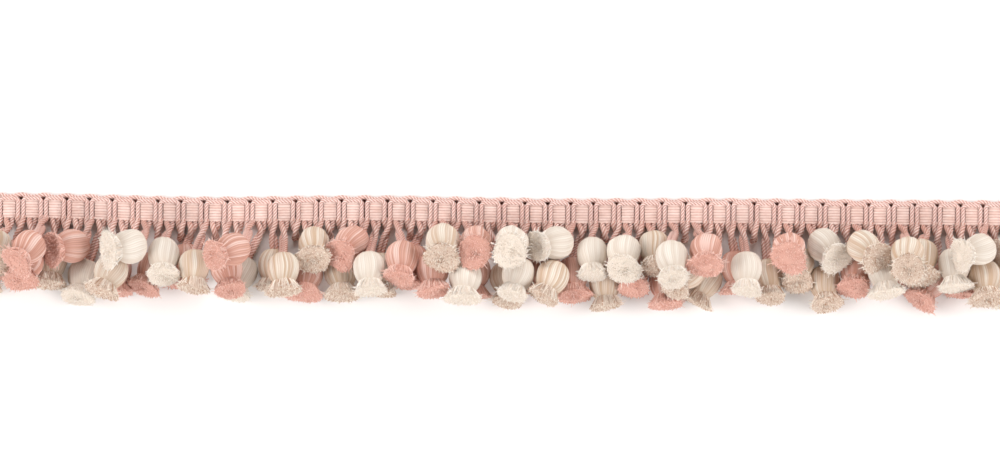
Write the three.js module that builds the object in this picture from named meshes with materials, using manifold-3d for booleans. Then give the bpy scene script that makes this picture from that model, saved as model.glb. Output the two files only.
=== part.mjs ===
// A straight length of tassel fringe, lying on its back: a woven heading tape with a looped face cord
// and a scalloped edge cord, and onion tassels in three yarns that hang from it on loops of cord.
// Millimetres. X runs along the heading, +Y from the fringe to the scalloped edge, +Z out of the face.
import * as THREE from 'three';
import { mergeVertices } from 'three/addons/utils/BufferGeometryUtils.js';
import Module from 'manifold-3d';

const wasm = await Module();
wasm.setup();

// Heading
const REPEAT = 10; // one window of the tape and the cord looped round it
const REPEATS = 46;
const LENGTH = REPEATS * REPEAT;
const GAP = 0.3; // between pieces
const TAPE_HEIGHT = 8.4;
const TAPE_THICK = 1.6;
const TAPE_FOOT = -TAPE_HEIGHT / 2;
const CORD_WIDE = 2.2;
const CORD_THICK = 2;
const CORD_SLIT = 0.4; // between the two legs that meet under a notch
const ARCH_TOP = 5.8; // height of the loops' outer edge
const ARCH_CHAMFER = 1.2;
const EDGE_WIDE = 2;
const EDGE_THICK = 1.6;
const EDGE_PEAK = 7.1; // outer edge of the scallops, over the notches
const EDGE_DIP = 6.3; // and over the windows
const WAVER_DEPTH = 0.7; // the trim wanders from a straight line, most at its left end
const WAVER_LENGTH = 158;
const WAVER_START = -170;

// Fringe
const STRIP_DEEP = 1.2;
const STRIP_THICK = 1.1;
const STRIP_MIDDLE = TAPE_FOOT - GAP - STRIP_DEEP / 2;
const LOOP_STEP = REPEAT / 2;
const LOOP_WIDE = 4.2; // a loop's two cords where they leave the heading
const LOOP_NECK = 2.6; // and where they enter the tassel
const LOOP_THICK = 2;
const LOOP_LEVEL = 1.6; // a loop runs out level this far before it rises
const BARE_LOOP = 6.5; // length of a loop whose tassel doesn't show
const SIDES = 8;
const BULB_RADIUS = 7;
const NECK_RADIUS = 5.4;
const NECK_AT = 6; // from the bulb's centre
const SKIRT_RADIUS = 7.2;
const SKIRT_AT = 8.7; // to the middle of the skirt
const SKIRT_HALF = 2.6;
const POLE = 7.2; // to the bulb's top
const PUSH = 1.2; // how far a loop runs into the bulb
const SQUASH = 0.8; // the pile is pressed to this share of its height
const HEADING_FACE = (TAPE_THICK + GAP + CORD_THICK) / SQUASH;
const ROOT_FRONT = TAPE_FOOT - GAP - STRIP_DEEP - LOOP_LEVEL - LOOP_THICK;

// How the tassels settle
const ROUNDS = 1000;
const PULL_ROUNDS = 500; // rounds in which the tassels sink and are drawn to their places
const LAYER_RISE = 18; // each layer starts this much higher
const SINK = 0.2; // and comes down by this much a round
const HOLD = 0.11; // share of its way back to its place that a tassel is drawn a round
const NEAR = 36; // tassels further apart along the heading never touch
const EASE = 0.4; // share of an overlap that each of the two tassels gives way by in a round
const ODD_RISE = 2; // every other tassel starts a little higher

// How far tassels of one pose differ, each way, and the steps from one loop's value to the next
const AIM_SPREAD = 6;
const LIFT_SPREAD = 4;
const DROP_SPREAD = 0.8;
const GIRTH_SPREAD = 0.05;
const LOOP_SHIFT = 0.618034;
const SALT_SHIFT = 0.754878;

// A tassel's outline, from its top to the middle of its cut face
const TASSEL = [
  { along: -POLE, radius: 0 },
  { along: -5.8, radius: 4.4 },
  { along: -1.8, radius: BULB_RADIUS },
  { along: 2.6, radius: 6.7 },
  { along: NECK_AT, radius: NECK_RADIUS },
  { along: 8, radius: 6.9 },
  { along: 10, radius: SKIRT_RADIUS },
  { along: 11.3, radius: 0 },
];

// How a tassel lies. layer: 0 is laid down first. drop: the bulb's centre, below the heading.
// sway: the centre, to the right of the loop. aim: degrees that the skirt swings to the right.
// lift: degrees that the skirt tips up. b, c and n lie under the others, h to u in front, k
// behind those, and m to r on top of the loops, close below the heading.
const POSES = {
  b: { layer: 0, drop: 22, sway: 0, aim: 4, lift: 14 },
  c: { layer: 0, drop: 20.5, sway: 0, aim: -26, lift: 14 },
  n: { layer: 0, drop: 14, sway: 0, aim: 0, lift: 6 },
  h: { layer: 1, drop: 19.5, sway: 0, aim: 0, lift: 22 },
  w: { layer: 1, drop: 19.5, sway: -2.5, aim: -20, lift: 22 },
  q: { layer: 1, drop: 21, sway: -6, aim: -47, lift: 28 },
  e: { layer: 1, drop: 20.5, sway: 1, aim: 10, lift: 24 },
  u: { layer: 1, drop: 19.5, sway: 0, aim: -8, lift: 40 },
  k: { layer: 1, drop: 14, sway: 1, aim: 0, lift: 30 },
  m: { layer: 2, drop: 15.5, sway: 0, aim: 0, lift: 28 },
  v: { layer: 2, drop: 13, sway: 0, aim: -2, lift: 48 },
  f: { layer: 2, drop: 12, sway: 0, aim: -8, lift: 66 },
  d: { layer: 2, drop: 13.5, sway: -3, aim: -38, lift: 42 },
  l: { layer: 2, drop: 13.5, sway: -6, aim: -76, lift: 36 },
  r: { layer: 2, drop: 13, sway: 3, aim: 44, lift: 48 },
};

// What hangs from each loop, from left to right: a yarn (R, I, S) and a pose, or a bare loop
const CHART = [
  '-- Sh Sv Rn Ru Rd Sh -- -- Rl',
  'Iw Rn Sw -- Il Rw Im -- Rn Sh',
  '-- Re -- Rl Iw Sn Sh -- Rh Sv',
  '-- Sh -- Rd Ih Sb Rm -- Rn Rh',
  'Sv Ih Rf Rn Sh -- If Iw Rn Sw',
  '-- Il Rh Im -- Sb Iv Ru Sk Rb',
  'Im -- Rv Sq Sc Rn Ih -- Sh --',
  'Rf Su Ir Sh -- Ru Sr -- Ih Rn',
  'Sv -- Sm Rc Ih Rn Sh Il Ih --',
  'Sl',
].join(' ').split(' ');

// The strips that the loops spring from lie one above another under the heading's lower edge
const YARNS = {
  S: { node: 'sand_fringe', level: 0, color: 0xd9bd9c },
  I: { node: 'ivory_fringe', level: 1, color: 0xe9e2d6 },
  R: { node: 'rose_fringe', level: 2, color: 0xe3a892 },
};
const ROSE = 0xecbcab;

const vec = (x, y, z) => new THREE.Vector3(x, y, z);
const turn = THREE.MathUtils.degToRad;
const stripHeight = (yarn) => YARNS[yarn].level * (STRIP_THICK + GAP) + STRIP_THICK / 2;

// An even spread of values from -1 to 1 over the loops
function vary(loop, salt) {
  const share = loop * LOOP_SHIFT + salt * SALT_SHIFT;
  return 2 * (share - Math.floor(share)) - 1;
}

function waver(x) {
  const slack = 0.5 - x / LENGTH;
  return -WAVER_DEPTH * slack * Math.sin((2 * Math.PI * (x - WAVER_START)) / WAVER_LENGTH);
}

function closedSolid(geometry) {
  const bare = geometry.clone();
  bare.deleteAttribute('normal');
  bare.deleteAttribute('uv');
  const merged = mergeVertices(bare, 1e-4);
  const corners = merged.index.array;
  const kept = [];
  for (let i = 0; i < corners.length; i += 3) {
    const [a, b, c] = corners.slice(i, i + 3);
    if (a !== b && b !== c && c !== a) kept.push(a, b, c);
  }
  const positions = Float32Array.from(merged.attributes.position.array);
  return new wasm.Manifold(
    new wasm.Mesh({ numProp: 3, vertProperties: positions, triVerts: Uint32Array.from(kept) }),
  );
}

function geometryOf(body) {
  const mesh = body.getMesh();
  const geometry = new THREE.BufferGeometry();
  geometry.setAttribute('position', new THREE.BufferAttribute(mesh.vertProperties, 3));
  geometry.setIndex(new THREE.BufferAttribute(mesh.triVerts, 1));
  return geometry;
}

// A four-sided cord through stations, each with half its width and half its thickness as vectors
function cord(stations) {
  const points = [];
  const faces = [];
  for (const { at, across, up } of stations) {
    const ring = [
      at.clone().add(across),
      at.clone().add(up),
      at.clone().sub(across),
      at.clone().sub(up),
    ];
    for (const corner of ring) points.push(corner.x, corner.y, corner.z);
  }
  for (let s = 0; s + 1 < stations.length; s += 1) {
    for (let i = 0; i < 4; i += 1) {
      const near = 4 * s + i;
      const next = 4 * s + ((i + 1) % 4);
      faces.push(near, next, next + 4, near, next + 4, near + 4);
    }
  }
  const end = 4 * (stations.length - 1);
  faces.push(0, 2, 1, 0, 3, 2, end, end + 1, end + 2, end, end + 2, end + 3);
  const geometry = new THREE.BufferGeometry();
  geometry.setAttribute('position', new THREE.Float32BufferAttribute(points, 3));
  geometry.setIndex(faces);
  return geometry;
}

// A cord that lies flat, through corners that are mitred
function flatCord(path, z, wide, thick) {
  const stations = path.map((at, i) => {
    const before = path[Math.max(i - 1, 0)];
    const after = path[Math.min(i + 1, path.length - 1)];
    const inward = i > 0 ? at.clone().sub(before).normalize() : after.clone().sub(at).normalize();
    const onward = i + 1 < path.length ? after.clone().sub(at).normalize() : inward;
    const mitre = vec(-inward.y - onward.y, inward.x + onward.x, 0).normalize();
    const half = wide / 2 / (-inward.y * mitre.x + inward.x * mitre.y);
    return { at: vec(at.x, at.y, z), across: mitre.multiplyScalar(half), up: vec(0, 0, thick / 2) };
  });
  return cord(stations);
}

// The face cord goes up, over and down round each window, and turns to the next below the notch
function faceCordPath() {
  const path = [];
  const leg = (REPEAT - CORD_WIDE - CORD_SLIT) / 2;
  const foot = TAPE_FOOT + CORD_WIDE / 2;
  const top = ARCH_TOP - CORD_WIDE / 2;
  for (let k = 0; k < REPEATS; k += 1) {
    const middle = (k + 0.5) * REPEAT - LENGTH / 2;
    path.push(vec(middle - leg, foot, 0));
    path.push(vec(middle - leg, top - ARCH_CHAMFER, 0));
    path.push(vec(middle - leg + ARCH_CHAMFER, top, 0));
    path.push(vec(middle + leg - ARCH_CHAMFER, top, 0));
    path.push(vec(middle + leg, top - ARCH_CHAMFER, 0));
    path.push(vec(middle + leg, foot, 0));
  }
  return path;
}

function edgeCordPath() {
  const path = [];
  const middle = (EDGE_PEAK + EDGE_DIP - EDGE_WIDE) / 2;
  const swing = (EDGE_PEAK - EDGE_DIP) / 2;
  for (let q = 0; q <= 4 * REPEATS; q += 1) {
    const y = middle + swing * Math.cos((q * Math.PI) / 2);
    path.push(vec((q * REPEAT) / 4 - LENGTH / 2, y, 0));
  }
  return path;
}

function tasselGeometry(girth) {
  const outline = TASSEL.map(({ along, radius }) => new THREE.Vector2(radius * girth, along));
  const geometry = new THREE.LatheGeometry(outline, SIDES);
  geometry.rotateY(Math.PI / SIDES);
  return geometry;
}

// The balls that stand for a tassel while the fringe settles, about the bulb's centre
function tasselBalls({ side, axis, over }, girth) {
  const rim = SKIRT_HALF + GAP / 2;
  const ring = SKIRT_RADIUS * girth + GAP / 2 - rim;
  const middle = axis.clone().multiplyScalar(SKIRT_AT);
  const balls = [
    { at: vec(0, 0, 0), radius: BULB_RADIUS * girth + GAP },
    { at: axis.clone().multiplyScalar(NECK_AT), radius: NECK_RADIUS * girth + GAP },
    { at: middle, radius: rim },
  ];
  for (let i = 0; i < SIDES; i += 1) {
    const angle = (2 * Math.PI * i) / SIDES;
    const at = middle.clone().addScaledVector(side, ring * Math.cos(angle));
    balls.push({ at: at.addScaledVector(over, ring * Math.sin(angle)), radius: rim });
  }
  return balls;
}

// The deepest overlap of two sets of balls, as the way to push the first set
function overlap(tassel, other) {
  let deepest = 0;
  const push = vec(0, 0, 0);
  for (const a of tassel.balls) {
    for (const b of other.balls) {
      const dx = tassel.centre.x + a.at.x - other.centre.x - b.at.x;
      const dy = tassel.centre.y + a.at.y - other.centre.y - b.at.y;
      const dz = tassel.centre.z + a.at.z - other.centre.z - b.at.z;
      const apart = Math.sqrt(dx * dx + dy * dy + dz * dz);
      const depth = a.radius + b.radius - apart;
      if (depth > deepest) {
        deepest = depth;
        push.set(dx, dy, dz).multiplyScalar(depth / apart);
      }
    }
  }
  return deepest > 0 ? push : null;
}

// How far the heading and its loops' roots, a long low block, push a tassel off
function headingPush(tassel) {
  let deepest = 0;
  const push = vec(0, 0, 0);
  for (const { at, radius } of tassel.balls) {
    const y = tassel.centre.y + at.y;
    const z = tassel.centre.z + at.z;
    const dy = Math.min(y - ROOT_FRONT, 0);
    const dz = Math.max(z - HEADING_FACE, 0);
    const apart = Math.max(Math.hypot(dy, dz), 1e-6);
    if (radius - apart > deepest) {
      deepest = radius - apart;
      push.set(0, dy, dz).multiplyScalar(deepest / apart);
    }
  }
  return push;
}

// Lower every tassel from its layer's height, with each held near its place in the chart, until
// they rest on the surface and on one another and no two overlap
function settle(hung) {
  const tassels = hung.filter((item) => item.axis);
  for (let round = 0; round < ROUNDS; round += 1) {
    const pull = round < PULL_ROUNDS ? 1 : 0;
    const moves = tassels.map(() => vec(0, 0, 0));
    for (const item of hung) {
      const loop = { centre: vec(0, 0, 0), balls: loopBalls(item) };
      tassels.forEach((tassel, i) => {
        if (tassel === item || Math.abs(tassel.centre.x - item.root.x) > NEAR) return;
        const push = overlap(tassel, loop);
        if (push) moves[i].addScaledVector(push, EASE);
      });
    }
    tassels.forEach((tassel, i) => {
      for (let j = i + 1; j < tassels.length; j += 1) {
        if (Math.abs(tassel.centre.x - tassels[j].centre.x) > NEAR) continue;
        const push = overlap(tassel, tassels[j]);
        if (!push) continue;
        moves[i].addScaledVector(push, EASE);
        moves[j].addScaledVector(push, -EASE);
      }
    });
    tassels.forEach((tassel, i) => {
      const { centre, place } = tassel;
      centre.add(moves[i]).add(headingPush(tassel));
      centre.x += pull * HOLD * (place.x - centre.x);
      centre.y += pull * HOLD * (place.y - centre.y);
      centre.z = Math.max(centre.z - pull * SINK, tassel.rest);
    });
  }
}

// Stations of a loop, from its strip to inside the tassel's top or to its end on the surface
function loopPath({ root, loop, layer, centre, axis }) {
  const level = vec(root.x, ROOT_FRONT + LOOP_THICK / 2, Math.max(root.z, LOOP_THICK / 2));
  const goal = vec(root.x, root.y - BARE_LOOP, LOOP_THICK / 2);
  if (centre) goal.copy(centre).addScaledVector(axis, PUSH - POLE);
  const middle = level.clone().lerp(goal, 0.5);
  if (layer !== 2) middle.z = LOOP_THICK / 2 + (loop % 2) * (LOOP_THICK + GAP);
  return [root, level, middle, goal];
}

// Balls along the free part of a loop
function loopBalls(item) {
  const [, level, middle, goal] = loopPath(item);
  const places = [
    level.clone().lerp(middle, 0.5),
    middle,
    middle.clone().lerp(goal, 1 / 3),
    middle.clone().lerp(goal, 2 / 3),
  ];
  return places.map((at) => ({ at, radius: LOOP_NECK / 2 + GAP / 2 }));
}

function loopGeometry(path) {
  const stations = path.map((at, i) => {
    const before = path[Math.max(i - 1, 0)];
    const after = path[Math.min(i + 1, path.length - 1)];
    const tangent = after.clone().sub(before).normalize();
    const across = vec(1, 0, 0).addScaledVector(tangent, -tangent.x).normalize();
    const up = across.clone().cross(tangent);
    const wide = i < 2 ? LOOP_WIDE : LOOP_NECK;
    const thick = i < 1 ? STRIP_THICK : LOOP_THICK;
    return {
      at,
      across: across.multiplyScalar(-wide / 2),
      up: up.multiplyScalar(thick / 2),
    };
  });
  return cord(stations);
}

// A tassel's directions: across it and level, down it to its skirt, and square to both
function tasselFrame(pose, loop) {
  const aim = turn(pose.aim + AIM_SPREAD * vary(loop, 1));
  const lift = turn(pose.lift + LIFT_SPREAD * vary(loop, 2));
  const flat = Math.cos(lift);
  const axis = vec(flat * Math.sin(aim), -flat * Math.cos(aim), Math.sin(lift));
  const side = vec(axis.y, -axis.x, 0).normalize();
  return { side, axis, over: side.clone().cross(axis) };
}

// What hangs from one loop: its strip's root and, where it has one, its tassel above its place
function hangLoop(mark, loop) {
  const pose = POSES[mark[1]];
  const yarn = pose ? mark[0] : 'R';
  const x = (loop + 1) * LOOP_STEP - LENGTH / 2;
  const root = vec(x, STRIP_MIDDLE, stripHeight(yarn) / SQUASH);
  if (!pose) return { loop, yarn, root };
  const frame = tasselFrame(pose, loop);
  const girth = 1 + GIRTH_SPREAD * vary(loop, 3);
  const geometry = tasselGeometry(girth);
  geometry.applyMatrix4(new THREE.Matrix4().makeBasis(frame.side, frame.axis, frame.over));
  geometry.computeBoundingBox();
  const rest = -geometry.boundingBox.min.z;
  const place = vec(x + pose.sway, TAPE_FOOT - pose.drop + DROP_SPREAD * vary(loop, 4), 0);
  const centre = place.clone().setZ(rest + pose.layer * LAYER_RISE + ODD_RISE * (loop % 2));
  const balls = tasselBalls(frame, girth);
  return { loop, yarn, root, layer: pose.layer, axis: frame.axis, rest, place, centre, balls, geometry };
}

function hangFringe() {
  const hung = CHART.map(hangLoop);
  settle(hung);
  for (const item of hung) {
    item.path = loopPath(item);
    if (item.axis) item.geometry.translate(item.centre.x, item.centre.y, item.centre.z);
  }
  return hung;
}

// One yarn's strip, loops and tassels as one body
function fringeGeometry(yarn, hung) {
  const strip = new THREE.BoxGeometry(LENGTH, STRIP_DEEP, STRIP_THICK, REPEATS, 1, 1);
  strip.translate(0, STRIP_MIDDLE, stripHeight(yarn));
  let body = closedSolid(strip);
  for (const item of hung.filter((each) => each.yarn === yarn)) {
    body = body.add(closedSolid(loopGeometry(item.path).scale(1, 1, SQUASH)));
    if (item.geometry) body = body.add(closedSolid(item.geometry.scale(1, 1, SQUASH)));
  }
  return geometryOf(body);
}

function addPiece(group, name, geometry, color) {
  const place = geometry.attributes.position;
  for (let i = 0; i < place.count; i += 1) place.setY(i, place.getY(i) + waver(place.getX(i)));
  geometry.computeVertexNormals();
  const material = new THREE.MeshStandardMaterial({ color, roughness: 0.85, metalness: 0 });
  const mesh = new THREE.Mesh(geometry, material);
  mesh.name = name;
  group.add(mesh);
}

function buildTrim() {
  const trim = new THREE.Group();
  const tape = new THREE.BoxGeometry(LENGTH, TAPE_HEIGHT, TAPE_THICK, REPEATS, 1, 1);
  tape.translate(0, 0, TAPE_THICK / 2);
  addPiece(trim, 'heading_tape', tape, ROSE);
  const faceZ = TAPE_THICK + GAP + CORD_THICK / 2;
  addPiece(trim, 'face_cord', flatCord(faceCordPath(), faceZ, CORD_WIDE, CORD_THICK), ROSE);
  const edge = flatCord(edgeCordPath(), EDGE_THICK / 2, EDGE_WIDE, EDGE_THICK);
  addPiece(trim, 'edge_cord', edge, ROSE);
  const hung = hangFringe();
  for (const [yarn, { node, color }] of Object.entries(YARNS)) {
    addPiece(trim, node, fringeGeometry(yarn, hung), color);
  }
  return trim;
}

export default buildTrim();
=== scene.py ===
"""Dresses a straight length of tassel fringe in twisted cord, ribbed tape and wound yarn.

Every piece is modelled in metres in the frame of the solids: X along the heading, +Y towards the
scalloped edge, +Z out of the face. The tassels and their loops are found in the solids themselves.
"""

import math
from collections import namedtuple

import bmesh
import bpy
import numpy as np
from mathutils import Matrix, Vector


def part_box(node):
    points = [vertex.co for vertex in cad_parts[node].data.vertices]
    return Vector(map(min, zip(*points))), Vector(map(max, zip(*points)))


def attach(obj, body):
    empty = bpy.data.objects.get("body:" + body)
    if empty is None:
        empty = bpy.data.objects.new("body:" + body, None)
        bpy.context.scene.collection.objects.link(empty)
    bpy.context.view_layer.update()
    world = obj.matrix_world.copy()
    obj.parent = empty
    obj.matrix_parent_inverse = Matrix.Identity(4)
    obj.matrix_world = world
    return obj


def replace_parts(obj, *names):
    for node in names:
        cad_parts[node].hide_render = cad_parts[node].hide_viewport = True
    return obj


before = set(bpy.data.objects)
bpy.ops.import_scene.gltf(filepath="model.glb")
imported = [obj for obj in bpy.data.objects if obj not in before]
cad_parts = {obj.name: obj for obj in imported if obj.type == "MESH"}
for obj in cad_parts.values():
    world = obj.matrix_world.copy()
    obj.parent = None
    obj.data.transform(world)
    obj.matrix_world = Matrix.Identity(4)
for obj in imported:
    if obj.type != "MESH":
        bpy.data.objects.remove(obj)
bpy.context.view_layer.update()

bl_info = {
    "name": "Tassel fringe trim",
    "version": (1, 0, 0),
    "blender": (4, 5, 0),
    "location": "View3D > Sidebar > Trim",
    "description": "Dresses the solids of a tassel fringe trim in cord, tape and yarn",
    "category": "Object",
}

MM = 0.001
FRINGES = ("rose", "ivory", "sand")
FRINGE_NODES = [f"{name}_fringe" for name in FRINGES]
TAPE_LOW, TAPE_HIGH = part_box("heading_tape")
LENGTH = TAPE_HIGH.x - TAPE_LOW.x
TAPE_THICK = TAPE_HIGH.z

# Twisted cord: its plies, the share of its radius that their grooves take, and its rings' distance
PLIES = 4
GROOVE = 0.3
RING = 0.42 * MM

# Slack where places are compared, and how far every piece stays above the floor
HAIR = 0.01 * MM
FLOOR_LIFT = 0.02 * MM

# A skirt's cut face in the solids is an even fan of edges: how far they may differ from the rim's
# radius and from each other, as shares of it, and the fewest of them
SPOKE_MISFIT = 0.12
SPOKE_UNEVEN = 0.02
SPOKES = 6

# A small mesh as arrays: its points, the points of its faces' corners, and the corners of each face
Shape = namedtuple("Shape", "points corners sizes")

# One hanging loop of the solids: its way to its end, and its tassel, if it has one
Lock = namedtuple("Lock", "path tassel")

# A tassel of the solids: its bulb's middle, its own three directions and its girth
Tassel = namedtuple("Tassel", "centre over side axis girth")


def linear(code):
    """An sRGB hex colour as linear red, green, blue and alpha."""
    parts = [int(code[i : i + 2], 16) / 255 for i in (1, 3, 5)]
    return [c / 12.92 if c <= 0.04045 else ((c + 0.055) / 1.055) ** 2.4 for c in parts] + [1.0]


def share(name, description, default, **kind):
    """A number that a user would change, plain or of a kind."""
    return bpy.props.FloatProperty(name=name, description=description, default=default, **kind)


def size(name, description, millimetres):
    """A length that a user would change, given in millimetres."""
    return share(name, description, millimetres * MM, unit="LENGTH", precision=5)


def angle(name, description, degrees):
    """An angle that a user would change, given in degrees."""
    return share(name, description, math.radians(degrees), subtype="ANGLE")


def power(name, description, watts):
    """A light's power that a user would change."""
    return share(name, description, watts, unit="POWER")


def number(name, description, default):
    """A count that a user would change."""
    return bpy.props.IntProperty(name=name, description=description, default=default, min=1)


def colour(name, description, code):
    """A colour that a user would change, given as sRGB hex."""
    return bpy.props.FloatVectorProperty(
        name=name, description=description, default=linear(code), subtype="COLOR", size=4
    )


class HeadingSettings(bpy.types.PropertyGroup):
    """Sizes of the tape and of the two cords on it."""

    # The real ribs are about 0.8 mm apart, and the strokes of the twisted cord about 1.0 mm. Those
    # are too fine to show in the render, so the ribs are drawn 1.2 mm apart, and the lay is 6 mm,
    # which with four plies gives strokes of 1.5 mm, here and on the hanging loops.
    repeat: size("Repeat", "One window of the tape with the cord looped round it", 10)
    tape_width: size("Tape width", "Flat width of the tape, with the selvedge under the edge cord", 10.2)
    ribbed_width: size("Ribbed width", "Width of the tape's thick ribbed part", 8.4)
    rib: size("Rib", "Distance from one rib of the tape to the next", 1.2)
    rib_depth: size("Rib depth", "Depth of the grooves between the ribs", 0.3)
    selvedge: size("Selvedge", "Thickness of the tape's thin upper margin", 0.25)
    cord: size("Face cord", "Width of the looped face cord", 2.2)
    cord_thick: size("Face cord thickness", "Thickness of the looped face cord", 1.7)
    leg: size("Leg", "From a window's middle to the middle of the cord beside it", 3.85)
    arch: size("Arch", "Height of the middle of the cord over a window", 4.4)
    bend: size("Bend", "Radius of the loops' upper corners", 1.2)
    lay: size("Lay", "Length of one turn of the twisted cords", 6)
    edge_wide: size("Edge cord width", "Width of the scalloped edge cord", 2.4)
    edge_thick: size("Edge cord thickness", "Thickness of the scalloped edge cord", 1.6)
    edge_middle: size("Edge cord height", "Mean height of the edge cord's middle", 5.5)
    edge_swing: size("Edge cord swing", "How far the edge cord swings up over the notches", 0.45)
    unevenness: size("Unevenness", "How far the loops of the face cord differ", 0.14)


class FringeSettings(bpy.types.PropertyGroup):
    """Sizes of the hanging loops."""

    cord: size("Cord", "Diameter of the hanging cords", 2.7)
    lay: size("Lay", "Length of one turn of the hanging cords", 6)
    spread: size("Spread", "Between a loop's two cords where they leave the heading", 2.45)
    close: size("Close", "Between a loop's two cords where they enter the tassel", 1.8)
    open: size("Open", "How far from the heading a loop's two cords begin to close", 1)
    closing: size("Closing", "Length in which they turn round each other and close", 8.5)
    # Over this length the cords take more painted shade towards their tassel
    entering: size("Entering", "Length in which the cords grow dark towards their tassel", 9)
    start: size("Start", "How far below the tape's middle the cords begin", 3.2)
    window_start: size("Window start", "Height of the cords' middle where they leave a window", 2.1)
    leg_start: size("Leg start", "Height of the cords' middle where they go on from the face cord", 2.65)
    binding: size("Binding", "Diameter of the cord that binds the loops' roots", 1.3)
    strip_front: size("Strip front", "How far below the tape's middle the solids' strips end", 5.7)
    strip_top: size("Strip top", "Height that the solids' strips and roots stay under", 6)
    straighten: share("Straighten", "How far a rising loop is pulled straight", 0.7)
    cross: angle("Cross", "How far a loop's two cords turn round each other", 150)
    pressed: share("Pressed", "Share of its height that the pile is pressed to in the solids", 0.8)


class TasselSettings(bpy.types.PropertyGroup):
    """Sizes of a tassel, whose girth and place come from the solids."""

    # Threads, cut ends and fibres are drawn thicker than real ones, which are too fine to show
    skirt_radius: size("Skirt radius", "Radius of a skirt's rim in the solids", 7.2)
    face_at: size("Face", "From the bulb's middle to the middle of the cut face", 11.3)
    entry: size("Entry", "From the bulb's middle to where the cords end in its top", 5.4)
    threads: number("Threads", "Ridges of yarn round a bulb", 46)
    relief: size("Relief", "How far a ridge of yarn stands out", 0.34)
    pile: number("Pile", "Cut ends on a skirt's face", 480)
    fringe: number("Fringe", "Threads down a skirt's side", 140)
    strand: size("Strand", "Thickness of a cut thread", 0.58)
    stray: number("Stray", "Fine fibres that stick out past a skirt's rim", 44)
    fibre: size("Fibre", "Thickness of a stray fibre", 0.38)
    seed: number("Seed", "Start of the random draws", 7)


class ColourSettings(bpy.types.PropertyGroup):
    """The floor's colour, and those of the cords and yarns, which are added below."""

    floor: colour("Floor", "Plain pale floor", "#F6F2F0")


# The cords on the heading, the tape and the hanging loops: light and dark threads, and a deep tone
# that is painted shade between them. The loops' deep tone is darker than the heading cord's, as
# painted shade for where they hang among the tassels
CORD_TONES = ("light", "dark", "deep")
CORD_COLOURS = {
    "cord": ("#FBECE6", "#F5DAD2", "#C08576"),
    "tape": ("#F5DDD4", "#E9CABF", "#B17567"),
    "loop": ("#FEEDE6", "#F8DBD0", "#B87967"),
}

# The tassels' yarns, wound on the bulbs and cut on the skirts, with common threads too. The sand yarn
# is spun from cream, pale rose and tan. Each deep tone is painted shade between threads, at a bulb's
# ends and deep in the pile.
YARN_TONES = ("light", "middle", "dark", "deep")
YARN_COLOURS = {
    "rose": ("#F2D4C9", "#DFB2A3", "#CD9A89", "#B07B6B"),
    "rose_cut": ("#F3D3C8", "#E6B7A8", "#D69F8E", "#BF8A7A"),
    "ivory": ("#ECE4DA", "#E6DCD1", "#DCCFC2", "#CAB8A7"),
    "ivory_cut": ("#F4ECE3", "#EDE2D7", "#E3D4C5", "#D5C3B1"),
    "sand": ("#E9E0D4", "#E0CFC1", "#CBAE96", "#B99F86"),
    "sand_cut": ("#F5EBDF", "#E2CFC0", "#BB9479", "#BDA28E"),
}


def add_colours(table, tones):
    """Adds each tone of some cords or yarns to the colours that a user would change."""
    for yarn, codes in table.items():
        words = yarn.replace("_", " ").capitalize()
        for tone, code in zip(tones, codes):
            made = colour(f"{words} {tone}", f"{words}, its {tone} tone", code)
            ColourSettings.__annotations__[f"{yarn}_{tone}"] = made


add_colours(CORD_COLOURS, CORD_TONES)
add_colours(YARN_COLOURS, YARN_TONES)


class StageSettings(bpy.types.PropertyGroup):
    """The camera over the trim, and its lights."""

    view_width: size("View width", "Width of the trim that the picture takes in", 437.3)
    view_x: size("View X", "Middle of the picture along the heading", -0.75)
    view_y: size("View Y", "Middle of the picture below the heading", -9.4)
    roll: angle("Roll", "How far the camera is turned", 0.36)
    lens: share("Lens", "The camera's focal length", 100, unit="CAMERA")
    left: power("Left", "Low light from the left end", 52)
    right: power("Right", "Low light from the right end", 48)
    back: power("Back", "Low light from beyond the scalloped edge", 27)
    front: power("Front", "Low light from beyond the tassels", 17)
    sky: share("Sky", "Even light from all round", 0.05)


class TrimSettings(bpy.types.PropertyGroup):
    """All that a user would change."""

    heading: bpy.props.PointerProperty(type=HeadingSettings)
    fringe: bpy.props.PointerProperty(type=FringeSettings)
    tassel: bpy.props.PointerProperty(type=TasselSettings)
    colours: bpy.props.PointerProperty(type=ColourSettings)
    stage: bpy.props.PointerProperty(type=StageSettings)


# Reading the solids


def points_of(mesh):
    """The mesh's points as an array."""
    points = np.zeros(3 * len(mesh.vertices), np.float32)
    mesh.vertices.foreach_get("co", points)
    return points.reshape(-1, 3).astype(float)


def unit(ways):
    """Ways made one long."""
    return ways / np.linalg.norm(ways, axis=-1, keepdims=True)


def heading_line():
    """The line that the heading wanders along, as stations and their heights, from the tape."""
    points = points_of(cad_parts["heading_tape"].data)
    stations, which = np.unique(np.round(points[:, 0], 5), return_inverse=True)
    top = np.full(len(stations), -np.inf)
    foot = np.full(len(stations), np.inf)
    np.maximum.at(top, which, points[:, 1])
    np.minimum.at(foot, which, points[:, 1])
    return stations, (top + foot) / 2


LINE_X, LINE_Y = heading_line()


def wandered(points):
    """Points of a straight trim, moved to follow the heading's line."""
    moved = points.copy()
    moved[..., 1] += np.interp(points[..., 0], LINE_X, LINE_Y)
    return moved


def solid_of(node, pressed):
    """A fringe node's welded points and edges, on a straight heading and not yet pressed."""
    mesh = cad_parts[node].data
    mesh.calc_loop_triangles()
    corners = np.zeros(3 * len(mesh.loop_triangles), np.int32)
    mesh.loop_triangles.foreach_get("vertices", corners)
    points, weld = np.unique(np.round(points_of(mesh), 7), axis=0, return_inverse=True)
    triangles = weld.reshape(-1)[corners].reshape(-1, 3)
    edges = np.unique(np.sort(triangles[:, [0, 1, 1, 2, 2, 0]].reshape(-1, 2), axis=1), axis=0)
    points[:, 1] -= np.interp(points[:, 0], LINE_X, LINE_Y)
    points[:, 2] /= pressed
    return points, edges


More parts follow.
